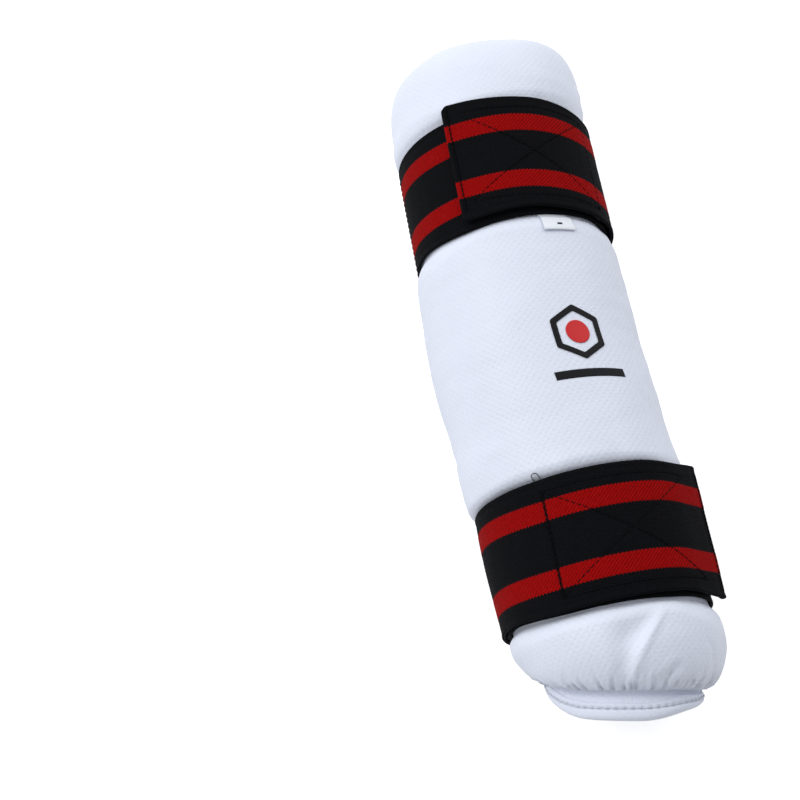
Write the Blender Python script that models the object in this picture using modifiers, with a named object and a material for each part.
"""Forearm guard for martial arts: a foam shell in a coated-fabric cover, held by two 50 mm elastic
straps that wrap round it once and close on the front with a hook patch.

Frame: +Y runs along the guard to its far end, +X to the right, +Z up out of the padded front. The
guard lies on the flat back runs of its two straps, at Z = 0. Lengths are in millimetres and angles
in degrees. The section angle is taken round the shell's axis: 0 at the crown, positive towards +X.
The shell's two long edges, left and right of the open back, are its wings.
"""

import math
from typing import NamedTuple

import bmesh
import bpy

MM = 0.001
ORIGIN = (0.0, 0.0, 0.0)

# Layers
LINING_T, COVER_T, COMFORT_T, BINDING_T = 0.8, 1.0, 3.0, 0.6
COMFORT_SHARE = 0.35  # most of the foam's depth that the comfort foam may take
GAP = 0.3  # clearance between neighbouring pieces
THREAD_R = 0.25
STITCH_T = 0.4  # thickness of a stitch made as a flat bar

# Straps: each lift is the height of a piece's inner face over the cover's waist
STRAP_W, STRAP_T, HOOK_T = 50.0, 1.3, 1.0
LOWER_Y, UPPER_Y = -77.0, 73.0  # strap centres
BAND_LIFT = 0.5  # front band
HOOK_LIFT = BAND_LIFT + STRAP_T + GAP
FREE_LIFT = HOOK_LIFT + HOOK_T + GAP  # side run, tab and pull end
STITCH_LIFT = FREE_LIFT + STRAP_T + GAP
LEAVE_ANGLE = 104.0  # where a strap leaves the shell and heads for the back
LEAVE_PULL, BACK_PULL = 9.0, 12.0  # lengths of the turn's handles at the shell and at the back run
BACK_HALF = 15.0  # half the flat length of the back run
BACK_Z = -21.1  # inner face of the back run, from the axis
SLIT = 0.16  # half the slit between two strap pieces that bend on each other

# Shell
AXIS_Z = STRAP_T - BACK_Z  # height of the shell's axis over the resting face
BORE_R = 24.0  # inside radius of the lining
WAIST_R = 36.0  # outside radius of the cover where a strap squeezes it
WAIST_HALF = STRAP_W / 2 + 4.2  # half the waist's length
WAIST_RISE = 9.0  # length over which the padding swells again beside a waist
NEAR_R, MID_R, FAR_R = 40.3, 40.2, 39.3  # outside radius at the near end, half way and far end
MID_NEAR_Y = (-60.0, 0.0)  # the radius goes over from the near end's to the middle's
MID_FAR_Y = (10.0, 55.0)  # and from the middle's to the far end's
CENTRE_X, CENTRE_Y = 0.106, -1.327  # brings the middle of the bounding box over the origin
BOW = 5.5  # the near third of the guard sits this far towards +X of the rest
BOW_NEAR_Y, BOW_FAR_Y = -50.0, 8.0  # between these the guard steps sideways
CROWN_FLAT = 0.03  # share by which the crown is lower than a true circle
FAR_FLAT = 0.07  # how much more it flattens at the far end
FAR_FLAT_START = UPPER_Y + STRAP_W / 2 + 3.0
SEAM_ANGLE = 122.0  # section angle of the wing seams
# End seams: crown, bow and slant per 100 degrees
NEAR_Y, NEAR_BOW, NEAR_SLANT = -128.0, 9.0, -8.0
FAR_Y, FAR_BOW, FAR_SLANT = 131.5, 5.0, 4.0
LENGTH = FAR_Y - NEAR_Y
NEAR_HOLD, FAR_HOLD = -50.0, 44.5  # between these the rows run straight across
NEAR_ROUND, FAR_ROUND, WING_ROUND = 18.0, 20.0, 9.0  # length over which the padding gets full
END_FULL, WING_FULL = 2.35, 2.0  # superellipse powers of the padding's ends and wings
CORNER = 0.42  # how round the four corners of the outline are

# Flange outside the seam
FLANGE_NEAR, FLANGE_WING, FLANGE_FAR = 8.0, 6.0, 4.0
FLANGE_MIN = 1.6  # least distance from the seam of anything placed from the flange's edge
FLANGE_R = BORE_R + 1.5  # radius at which the flange is unrolled to measure it
FAR_TUCK = 2.6  # how far the far flange bends in
TUCK_BEFORE, TUCK_AFTER = 8.0, 5.0  # the tuck starts and ends this far either side of FAR_Y
BINDING_LEG = 5.0
BINDING_STITCH_IN = 1.4  # the stitch's distance from the flange's edge

# Rows of the shell along the guard, and half the columns across it
NEAR_ROWS = (0.0, 0.9, 3.0, 6.6, 12.0, 20.0, 28.5, 52.0, 78.0)  # from the near seam
MID_ROWS = (-43.0, -36.0, -18.0, 5.0, 24.0, 38.0)
FAR_ROWS = (85.5, 57.0, 31.0, 22.0, 14.5, 8.5, 4.2, 1.2, 0.0)  # from the far seam
HALF_COLS = 12
WING_DENSER = 1.35  # power that crowds the columns towards the wings

# Look: (red, green, blue), roughness
LOOKS = {
    "cover": ((0.83, 0.85, 0.90), 0.45),
    "foam": ((0.80, 0.79, 0.74), 0.95),
    "lining": ((0.78, 0.80, 0.84), 0.85),
    "elastic": ((0.010, 0.010, 0.013), 0.90),
    "hook": ((0.02, 0.02, 0.022), 0.70),
    "thread_white": ((0.80, 0.81, 0.84), 0.60),
    "thread_black": ((0.012, 0.012, 0.014), 0.70),
    "print_black": ((0.02, 0.02, 0.022), 0.40),
    "print_red": ((0.55, 0.02, 0.03), 0.40),
    "label": ((0.86, 0.86, 0.88), 0.40),
}


class Strap(NamedTuple):
    """A strap's places, as section angles for one that closes from +X."""

    label: str
    side: int  # +1 closes from +X, -1 is mirrored
    centre: float  # Y
    shoulder: float | None  # where the side run is cut in two, if it is
    root: float  # where the tab starts
    hem: float  # where the pull end starts
    tip: float
    tab_skew: float  # how far the tab's free end sits off square, towards +Y
    band_skew: float  # how far the front band leans, towards -Y


STRAPS = (
    Strap("upper", +1, UPPER_Y, None, 62.0, -23.6, -28.8, tab_skew=4.5, band_skew=1.5),
    Strap("lower", -1, LOWER_Y, 82.0, 30.0, -71.0, -76.5, tab_skew=2.5, band_skew=0.0),
)


# ---- general tools ----


def clear_scene():
    for obj in list(bpy.data.objects):
        bpy.data.objects.remove(obj, do_unlink=True)


def make_collection(name):
    collection = bpy.data.collections.new(name)
    bpy.context.scene.collection.children.link(collection)
    return collection


def make_material(name, look):
    colour, roughness = LOOKS[look]
    material = bpy.data.materials.new(name + "_material")
    material.use_nodes = True
    bsdf = material.node_tree.nodes["Principled BSDF"]
    bsdf.inputs["Base Color"].default_value = (*colour, 1.0)
    bsdf.inputs["Roughness"].default_value = roughness
    return material


def clamp(value):
    return min(max(value, 0.0), 1.0)


def smoothstep(low, high, value):
    share = clamp((value - low) / (high - low))
    return share * share * (3.0 - 2.0 * share)


def placed(x, y, z):
    """Bows the guard sideways and centres it over the origin."""
    sideways = BOW * (smoothstep(-BOW_FAR_Y, -BOW_NEAR_Y, -y) - 0.5)
    return x + sideways + CENTRE_X, y + CENTRE_Y, z


def local_metres(point, origin):
    """A point of the guard in metres from an origin that is already placed."""
    return [(c - o) * MM for c, o in zip(placed(*point), origin)]


def add_object(name, data, look, origin):
    """Links the mesh or curve with its origin at a placed point."""
    data.materials.append(make_material(name, look))
    obj = bpy.data.objects.new(name, data)
    obj.location = [c * MM for c in origin]
    GUARD.objects.link(obj)
    return obj


def finish_mesh(name, mesh, look, origin=ORIGIN):
    """Makes an object of a mesh whose points are in millimetres in the guard's frame."""
    origin = placed(*origin)
    for vertex in mesh.vertices:
        vertex.co = local_metres(vertex.co, origin)
    work = bmesh.new()
    work.from_mesh(mesh)
    bmesh.ops.recalc_face_normals(work, faces=work.faces)
    work.to_mesh(mesh)
    work.free()
    mesh.name = name
    mesh.shade_smooth()
    mesh.set_sharp_from_angle(angle=math.radians(40.0))
    return add_object(name, mesh, look, origin)


def slab(name, cols, rows, place, look, origin=ORIGIN):
    """A flat grid with Solidify, bent by place(i, j, outer).

    place gives the point at column i and row j of the inner or the outer face.
    """
    work = bmesh.new()
    bmesh.ops.create_grid(work, x_segments=cols, y_segments=rows, size=1.0)
    flat = bpy.data.meshes.new(name + "_flat")
    work.to_mesh(flat)
    work.free()
    guide = bpy.data.objects.new(name + "_flat", flat)
    GUARD.objects.link(guide)
    solidify = guide.modifiers.new("Solidify", "SOLIDIFY")
    solidify.thickness = 1.0
    solidify.offset = 1.0
    graph = bpy.context.evaluated_depsgraph_get()
    mesh = bpy.data.meshes.new_from_object(guide.evaluated_get(graph))
    bpy.data.objects.remove(guide, do_unlink=True)
    bpy.data.meshes.remove(flat)
    for vertex in mesh.vertices:
        i = round((vertex.co.x + 1.0) / 2.0 * cols)
        j = round((vertex.co.y + 1.0) / 2.0 * rows)
        vertex.co = place(i, j, vertex.co.z > 0.5)
    return finish_mesh(name, mesh, look, origin)


def ring(name, around, profile, place, look):
    """A torus whose tube becomes the closed profile and whose circle becomes the closed path.

    place(k, *profile_point) gives the point at step k of the path.
    """
    bpy.ops.mesh.primitive_torus_add(
        major_segments=around, minor_segments=len(profile), major_radius=1.0, minor_radius=0.25
    )
    guide = bpy.context.object
    mesh = guide.data.copy()
    bpy.data.objects.remove(guide, do_unlink=True)
    for vertex in mesh.vertices:
        x, y, z = vertex.co
        path_turn = math.atan2(y, x) / (2 * math.pi)
        tube_turn = math.atan2(z, math.hypot(x, y) - 1.0) / (2 * math.pi)
        k = round(path_turn * around) % around
        m = round(tube_turn * len(profile)) % len(profile)
        vertex.co = place(k, *profile[m])
    return finish_mesh(name, mesh, look)


def thread(name, path, look, origin=ORIGIN):
    """A closed loop of thread through the points."""
    curve = bpy.data.curves.new(name, "CURVE")
    curve.dimensions = "3D"
    curve.bevel_depth = THREAD_R * MM
    curve.bevel_resolution = 0
    curve.use_fill_caps = True
    spline = curve.splines.new("POLY")
    spline.points.add(len(path) - 1)
    origin = placed(*origin)
    for spline_point, point in zip(spline.points, path):
        spline_point.co = [*local_metres(point, origin), 1.0]
    spline.use_cyclic_u = True
    return add_object(name, curve, look, origin)


def on_section(radius, angle, y):
    """A point at this radius and section angle."""
    turn = math.radians(angle)
    return radius * math.sin(turn), y, AXIS_Z + radius * math.cos(turn)


# ---- the shell's shape ----
# A place on the padded area is given by its shares across and along it, each from -1 to 1.


def near_seam(angle):
    turn = angle / 100.0
    return NEAR_Y + NEAR_BOW * turn * turn + NEAR_SLANT * turn


def far_seam(angle):
    turn = angle / 100.0
    return FAR_Y + FAR_BOW * turn * turn + FAR_SLANT * turn


def bore(y):
    return BORE_R - FAR_TUCK * smoothstep(FAR_Y - TUCK_BEFORE, FAR_Y + TUCK_AFTER, y)


def crown(angle, y=0.0):
    """Flattens the crown a little, and more towards the far end."""
    flat = CROWN_FLAT + FAR_FLAT * smoothstep(FAR_FLAT_START, FAR_Y, y)
    return 1.0 - flat * max(0.0, math.cos(math.radians(angle))) ** 2


def padded_radius(y):
    """Outside radius along the guard: full in the middle, squeezed to a waist under each strap."""
    middle = smoothstep(*MID_NEAR_Y, y) * (1.0 - smoothstep(*MID_FAR_Y, y))
    end = NEAR_R if y < 0.0 else FAR_R
    radius = end + (MID_R - end) * middle
    for centre in (LOWER_Y, UPPER_Y):
        away = abs(y - centre) - WAIST_HALF
        radius = WAIST_R + (radius - WAIST_R) * smoothstep(0.0, WAIST_RISE, away)
    return radius


def column_shares():
    shares = []
    for c in range(-HALF_COLS, HALF_COLS + 1):
        share = 1.0 - (1.0 - abs(c) / HALF_COLS) ** WING_DENSER
        shares.append(math.copysign(share, c))
    return shares


def row_shares():
    rows = [NEAR_Y + r for r in NEAR_ROWS] + list(MID_ROWS) + [FAR_Y - r for r in FAR_ROWS]
    return [2.0 * (y - NEAR_Y) / LENGTH - 1.0 for y in rows]


COLUMNS, ROWS = column_shares(), row_shares()


def outline(across, along):
    """Section angle and y of a place on the padded area, whose corners are rounded."""
    power = 4.0 / CORNER - 2.0
    angle = SEAM_ANGLE * across * math.sqrt(1.0 - CORNER / 2.0 * abs(along) ** power)
    rounded = along * math.sqrt(1.0 - CORNER / 2.0 * abs(across) ** power)
    y = NEAR_Y + (rounded + 1.0) / 2.0 * LENGTH
    if y < NEAR_HOLD:
        near = near_seam(angle)
        y = near + (y - NEAR_Y) / (NEAR_HOLD - NEAR_Y) * (NEAR_HOLD - near)
    elif y > FAR_HOLD:
        far = far_seam(angle)
        y = far - (FAR_Y - y) / (FAR_Y - FAR_HOLD) * (far - FAR_HOLD)
    return angle, y


def puff(distance, width, power):
    """A quarter of a superellipse, from 0 at the seam to 1 at full thickness."""
    return (1.0 - (1.0 - clamp(distance / width)) ** power) ** (1.0 / power)


def cover_radius(across, along):
    """Outside radius of the padded cover."""
    angle, y = outline(across, along)
    end_distance = (1.0 - abs(along)) * LENGTH / 2.0
    wing_distance = (1.0 - abs(across)) * math.radians(SEAM_ANGLE) * WAIST_R
    ends = puff(end_distance, FAR_ROUND if along > 0 else NEAR_ROUND, END_FULL)
    wings = puff(wing_distance, WING_ROUND, WING_FULL)
    low = bore(y) + LINING_T + GAP + COVER_T
    high = padded_radius(y) * crown(angle, y)
    return low + (high - low) * ends * wings


def unroll(across, along):
    angle, y = outline(across, along)
    return math.radians(angle) * FLANGE_R, y


def flange_point(across, along, wing, end, distance):
    """Section angle and y of a point straight out from a seam point.

    wing and end tell which edges the seam point lies on, both at a corner. The distance is from
    the flange's edge, negative towards the seam.
    """
    # A corner taken as part of one edge only is drawn in a little along that edge
    if not wing:
        across *= 0.9998
    if not end:
        along *= 0.9998
    step = 1e-3
    left, right = unroll(across - step, along), unroll(across + step, along)
    near, far = unroll(across, along - step), unroll(across, along + step)
    edges = []  # sign and tangent
    if wing:
        edges.append((math.copysign(1.0, across), (far[0] - near[0], far[1] - near[1])))
    if end:
        edges.append((-math.copysign(1.0, along), (right[0] - left[0], right[1] - left[1])))
    out_arc = sum(sign * tangent[1] / math.hypot(*tangent) for sign, tangent in edges)
    out_y = -sum(sign * tangent[0] / math.hypot(*tangent) for sign, tangent in edges)
    length = math.hypot(out_arc, out_y)
    out_arc, out_y = out_arc / length, out_y / length
    width = FLANGE_WING
    width += (FLANGE_NEAR - FLANGE_WING) * max(0.0, -out_y) ** 2
    width += (FLANGE_FAR - FLANGE_WING) * max(0.0, out_y) ** 2
    reach = max(width + distance, min(FLANGE_MIN, width))
    seam_arc, y = unroll(across, along)
    return math.degrees((seam_arc + out_arc * reach) / FLANGE_R), y + out_y * reach


# ---- the shell's pieces ----


def lining_faces(across, along, y):
    """Radii of the lining's inner and outer face."""
    return bore(y), bore(y) + LINING_T


def cover_faces(across, along, y):
    """Radii of the cover's inner and outer face, flat on the seam and outside it."""
    if abs(across) == 1.0 or abs(along) == 1.0:
        outside = bore(y) + LINING_T + GAP + COVER_T
    else:
        outside = cover_radius(across, along)
    return outside - COVER_T, outside


def foam_faces(across, along):
    """Radii of the inner and outer face of each foam, between lining and cover."""
    y = outline(across, along)[1]
    low = bore(y) + LINING_T + GAP
    high = cover_radius(across, along) - COVER_T - GAP
    split = low + min(COMFORT_T, COMFORT_SHARE * (high - low))
    return {"comfort_foam": (low, split), "impact_foam": (split + GAP, high)}


def build_skin(name, faces, look):
    """A sheet over the padded area, with one more ring of cells all round for the flange."""
    cols, rows = len(COLUMNS) + 1, len(ROWS) + 1

    def place(i, j, outer):
        across = COLUMNS[min(max(i - 1, 0), len(COLUMNS) - 1)]
        along = ROWS[min(max(j - 1, 0), len(ROWS) - 1)]
        wing, end = i in (0, cols), j in (0, rows)
        if wing or end:
            angle, y = flange_point(across, along, wing, end, 0.0)
        else:
            angle, y = outline(across, along)
        return on_section(faces(across, along, y)[outer], angle, y)

    slab(name, cols, rows, place, look)


def build_foam(name):
    """A foam layer, which stops one cell short of the seam."""

    def place(i, j, outer):
        across, along = COLUMNS[i + 1], ROWS[j + 1]
        return on_section(foam_faces(across, along)[name][outer], *outline(across, along))

    slab(name, len(COLUMNS) - 3, len(ROWS) - 3, place, "foam")


def seam_round():
    """The seam's points in order round the guard, as across, along, wing and end.

    The binding's corners so meet the flange's.
    """
    return [
        *[(across, -1.0, False, True) for across in COLUMNS],
        (1.0, -1.0, True, True),
        *[(1.0, along, True, False) for along in ROWS],
        (1.0, 1.0, True, True),
        *[(across, 1.0, False, True) for across in reversed(COLUMNS)],
        (-1.0, 1.0, True, True),
        *[(-1.0, along, True, False) for along in reversed(ROWS)],
        (-1.0, -1.0, True, True),
    ]


def edge_point(seam_place, distance, lift):
    angle, y = flange_point(*seam_place, distance)
    return on_section(bore(y) + lift, angle, y)


def build_binding():
    """A U-shaped binding folded over the flange's edge, and its stitch on the outer leg."""
    around = seam_round()
    top = LINING_T + GAP + COVER_T
    outer, inner = GAP + BINDING_T, GAP
    # Distance past the flange's edge, height over the bore
    profile = [
        (-BINDING_LEG, -outer),
        (outer, -outer),
        (outer, top + outer),
        (-BINDING_LEG, top + outer),
        (-BINDING_LEG, top + inner),
        (inner, top + inner),
        (inner, -inner),
        (-BINDING_LEG, -inner),
    ]

    def place(k, distance, lift):
        return edge_point(around[k], distance, lift)

    ring("edge_binding", len(around), profile, place, "cover")
    lift = top + outer + GAP + THREAD_R
    path = [edge_point(seam_place, -BINDING_STITCH_IN, lift) for seam_place in around]
    thread("binding_stitch", path, "thread_white")


# ---- the straps ----
# A strap's path is a list of (x, z, normal x, normal z) along its inner face, from the shell's
# axis, for a strap that closes from +X.

FRONT_STEPS, TURN_STEPS, TAB_STEPS = 30, 8, 12
WING_STITCH_IN = 5.0  # section angle from a front band's end to its stitch
PATCH_IN, BOX_IN = 2.0, 4.0  # section angle from the tab's ends to the patch's and the box's
PATCH_W = STRAP_W - 6.0
BOX_HALF = STRAP_W / 2 - 5.0
CROSS_INSET = 0.06  # share of the box's diagonal left free at each end of the cross
CROSS_HALF_W = 0.35


def arc(lift, start, end, steps):
    """Path on the shell from one section angle to another."""
    path = []
    for k in range(steps + 1):
        angle = start + (end - start) * k / steps
        radius = WAIST_R * crown(angle) + lift
        out_x, out_z = math.sin(math.radians(angle)), math.cos(math.radians(angle))
        path.append((radius * out_x, radius * out_z, out_x, out_z))
    return path


def bend(lift, sign):
    """Bezier path from the shell's wing to the flat back run, on the +X side for sign 1."""
    turn = math.radians(LEAVE_ANGLE)
    sin, cos = math.sin(turn), math.cos(turn)
    start_x, start_z = (WAIST_R + lift) * sin, (WAIST_R + lift) * cos
    controls = (
        (start_x, start_z),
        (start_x + LEAVE_PULL * cos, start_z - LEAVE_PULL * sin),
        (BACK_HALF + BACK_PULL, BACK_Z),
        (BACK_HALF, BACK_Z),
    )
    path = []
    for k in range(TURN_STEPS + 1):
        done = k / TURN_STEPS
        left = 1 - done
        weights = (left**3, 3 * done * left**2, 3 * done * done * left, done**3)
        slopes = (
            -3 * left**2,
            3 * left**2 - 6 * done * left,
            6 * done * left - 3 * done * done,
            3 * done * done,
        )
        x, z = (sum(w * c[axis] for w, c in zip(weights, controls)) for axis in (0, 1))
        ahead_x, ahead_z = (sum(s * c[axis] for s, c in zip(slopes, controls)) for axis in (0, 1))
        length = math.hypot(ahead_x, ahead_z)
        path.append((sign * x, z, sign * -ahead_z / length, ahead_x / length))
    return path


def trimmed(path, start, end):
    """Pulls the path's two ends in by these lengths."""
    path = list(path)
    for index, neighbour, cut in ((0, 1, start), (-1, -2, end)):
        x, z, out_x, out_z = path[index]
        along_x, along_z = path[neighbour][0] - x, path[neighbour][1] - z
        share = cut / math.hypot(along_x, along_z)
        path[index] = (x + along_x * share, z + along_z * share, out_x, out_z)
    return path


def path_point(strap, path_place, lift, y):
    """A point this far out from a place of the path, mirrored for a strap that closes from -X."""
    x, z, out_x, out_z = path_place
    return strap.side * (x + out_x * lift), y, AXIS_Z + z + out_z * lift


def strip(
    name, path, strap, skew, look="elastic", thickness=STRAP_T, width=STRAP_W, origin=ORIGIN
):
    """A band of this width along the path, shifted along the guard by skew(section angle)."""

    def place(i, j, outer):
        x, z = path[i][:2]
        y = strap.centre + width * (j - 0.5) + skew(math.degrees(math.atan2(x, z)))
        return path_point(strap, path[i], thickness if outer else 0.0, y)

    slab(name, len(path) - 1, 1, place, look, origin)


def run(name, path, strap, skew, end_cut=SLIT):
    """A piece of elastic whose origin is where its outer face starts. Returns the origin."""
    pivot = path_point(strap, path[0], STRAP_T, strap.centre)
    strip(name, trimmed(path, SLIT, end_cut), strap, skew, origin=pivot)
    return pivot


def bar_stitch(name, strap, skew, lift, angle, half, margin, origin=ORIGIN):
    """A straight stitch across the strap, half an angle wide each way, inside this margin."""
    line = arc(lift, angle + half, angle - half, 1)
    width = STRAP_W - margin
    strip(name, line, strap, skew, "thread_black", STITCH_T, width, origin)


def tab_skew(strap):
    """A tab runs a little off square: none at its root, all of it at its free end."""

    def skew(angle):
        return strap.tab_skew * clamp((strap.root - angle) / (strap.root - strap.tip)) ** 1.2

    return skew


def band_skew(strap):
    """The front band leans the other way, from the crown to the wing it is anchored on."""

    def skew(angle):
        return -strap.band_skew * smoothstep(-20.0, 80.0, -angle)

    return skew


def back_skew(strap):
    """The back run brings the strap square again by its far corner."""

    def skew(angle):
        turned = -angle if angle < 0.0 else 360.0 - angle
        return -strap.band_skew * (1.0 - smoothstep(LEAVE_ANGLE, 200.0, turned))

    return skew


def build_front_band(strap):
    """The fixed run over the front, stitched at both wings."""
    skew = band_skew(strap)
    path = arc(BAND_LIFT, LEAVE_ANGLE, -LEAVE_ANGLE, FRONT_STEPS)
    strip(strap.label + "_front_band", trimmed(path, 0.0, SLIT), strap, skew)
    stitch_angle = LEAVE_ANGLE - WING_STITCH_IN
    for word, angle in (("start", stitch_angle), ("anchor", -stitch_angle)):
        name = f"{strap.label}_{word}_stitch"
        bar_stitch(name, strap, skew, HOOK_LIFT, angle, half=0.5, margin=6.0)


def build_free_run(strap):
    """Across the open back and up the side, to the root of the tab."""
    back = bend(BAND_LIFT, -1.0) + [(BACK_HALF, BACK_Z, 0.0, -1.0)]
    run(strap.label + "_back_run", back, strap, back_skew(strap))
    skew = tab_skew(strap)
    turn = bend(FREE_LIFT, 1.0)[::-1]
    if strap.shoulder is None:
        side = turn + arc(FREE_LIFT, LEAVE_ANGLE, strap.root, 6)[1:]
    else:
        side = turn + arc(FREE_LIFT, LEAVE_ANGLE, strap.shoulder, 3)[1:]
        shoulder = arc(FREE_LIFT, strap.shoulder, strap.root, 9)
        run(strap.label + "_shoulder_run", shoulder, strap, skew)
    run(strap.label + "_side_run", side, strap, skew)


def build_tab(strap):
    """The tab over the front, with the hook patch under it and the pull end past its hem."""
    skew = tab_skew(strap)
    path = arc(FREE_LIFT, strap.root, strap.hem, TAB_STEPS)
    pivot = run(strap.label + "_tab_band", path, strap, skew)
    patch = arc(HOOK_LIFT, strap.root - PATCH_IN, strap.hem + PATCH_IN, TAB_STEPS)
    strip(strap.label + "_hook_patch", patch, strap, skew, "hook", HOOK_T, PATCH_W, pivot)
    build_box_stitch(strap, skew, pivot)
    path = arc(FREE_LIFT, strap.hem, strap.tip, 1)
    pivot = run(strap.label + "_pull_end", path, strap, skew, end_cut=0.0)
    name = strap.label + "_hem_stitch"
    bar_stitch(name, strap, skew, STITCH_LIFT, strap.hem - 2.0, 0.4, margin=4.0, origin=pivot)


def build_box_stitch(strap, skew, origin):
    """A box of thread just inside the patch's outline, and a cross between its corners."""
    start, end = strap.root - BOX_IN, strap.hem + BOX_IN

    def point(share, offset, lift):
        angle = start + (end - start) * share
        x, y, z = on_section(WAIST_R * crown(angle) + lift, angle, strap.centre + offset)
        return strap.side * x, y + skew(angle), z

    lift = STITCH_LIFT + THREAD_R
    loop = [point(k / TAB_STEPS, -BOX_HALF, lift) for k in range(TAB_STEPS + 1)]
    loop += [point(k / TAB_STEPS, BOX_HALF, lift) for k in range(TAB_STEPS, -1, -1)]
    thread(strap.label + "_box_stitch", loop, "thread_black", origin)

    def diagonal(word, way):
        def place(i, j, outer):
            share = CROSS_INSET + (1.0 - 2.0 * CROSS_INSET) * i / TAB_STEPS
            offset = way * BOX_HALF * (2.0 * share - 1.0) + CROSS_HALF_W * (2 * j - 1)
            return point(share, offset, STITCH_LIFT + (STITCH_T if outer else 0.0))

        name = f"{strap.label}_{word}_stitch"
        return slab(name, TAB_STEPS, 1, place, "thread_black", origin)

    join(diagonal("cross", 1.0), diagonal("cross_cut", -1.0))


def join(kept, added):
    """Makes one solid of two, in the first object."""
    union = kept.modifiers.new("Union", "BOOLEAN")
    union.operation = "UNION"
    union.object = added
    graph = bpy.context.evaluated_depsgraph_get()
    joined = bpy.data.meshes.new_from_object(kept.evaluated_get(graph))
    kept.modifiers.clear()
    kept.data = joined
    bpy.data.objects.remove(added, do_unlink=True)


# ---- print and label ----

PRINT_ANGLE, PRINT_Y = 19.0, -4.0  # centre of the print
PRINT_LIFT, PRINT_T = 0.75, 0.2
EMBLEM_Y = 4.0  # the emblem's centre, from the print's
EMBLEM_R, EMBLEM_BAND, DISC_R = 11.0, 2.6, 4.6
EMBLEM_STEPS = 24
BAR_LENGTH, BAR_W, BAR_Y = 28.0, 3.2, -14.0  # BAR_Y is its near edge, from the print's centre
LABEL_ANGLE, LABEL_SPAN = 14.0, 19.0  # section angles: where it starts and how far it reaches
LABEL_LENGTH, LABEL_T = 6.2, 0.35
LABEL_LIFT, LABEL_TILT = 0.55, 0.5  # at its far edge, and how much higher its near edge is


def on_cover(angle, y, lift):
    return on_section(padded_radius(y) * crown(angle) + lift, angle, y)


def on_print(x, y, lift):
    """A point of the print from its place on the flat transfer, from the print's centre."""
    return on_cover(PRINT_ANGLE + math.degrees(x / MID_R), PRINT_Y + y, PRINT_LIFT + lift)


def build_emblem_ring():
    """A plain hexagon ring."""
    inside = EMBLEM_R - EMBLEM_BAND
    profile = [(EMBLEM_R, 0.0), (EMBLEM_R, PRINT_T), (inside, PRINT_T), (inside, 0.0)]

    def place(k, radius, lift):
        turn = 2 * math.pi * k / EMBLEM_STEPS
        off_middle = (turn + math.pi / 6) % (math.pi / 3) - math.pi / 6  # from its side's middle
        reach = radius * math.cos(math.pi / 6) / math.cos(off_middle)
        return on_print(reach * math.cos(turn), reach * math.sin(turn) + EMBLEM_Y, lift)

    ring("emblem_ring", EMBLEM_STEPS, profile, place, "print_black")


def build_emblem_centre():
    """A disc, made by rounding a square grid."""

    def place(i, j, outer):
        across, along = i / 2.0 - 1.0, j / 2.0 - 1.0
        x = DISC_R * across * math.sqrt(1 - along * along / 2)
        y = DISC_R * along * math.sqrt(1 - across * across / 2)
        return on_print(x, y + EMBLEM_Y, PRINT_T if outer else 0.0)

    slab("emblem_centre", 4, 4, place, "print_red")


def build_emblem_bar():
    def place(i, j, outer):
        x = BAR_LENGTH * (i / 8 - 0.5)
        return on_print(x, BAR_Y + BAR_W * j, PRINT_T if outer else 0.0)

    slab("emblem_bar", 8, 1, place, "print_black")


def build_label():
    """A small flat tag against the near edge of the upper strap."""
    near = UPPER_Y - STRAP_W / 2 - GAP - LABEL_LENGTH

    def place(i, j, outer):
        lift = LABEL_LIFT + LABEL_TILT * (1 - j) + (LABEL_T if outer else 0.0)
        return on_cover(LABEL_ANGLE + LABEL_SPAN * i / 4, near + LABEL_LENGTH * j, lift)

    slab("size_label", 4, 1, place, "label")


clear_scene()
GUARD = make_collection("forearm_guard")
build_skin("outer_cover", cover_faces, "cover")
build_skin("lining", lining_faces, "lining")
build_foam("comfort_foam")
build_foam("impact_foam")
build_binding()
for guard_strap in STRAPS:
    build_front_band(guard_strap)
    build_free_run(guard_strap)
    build_tab(guard_strap)
build_emblem_ring()
build_emblem_centre()
build_emblem_bar()
build_label()
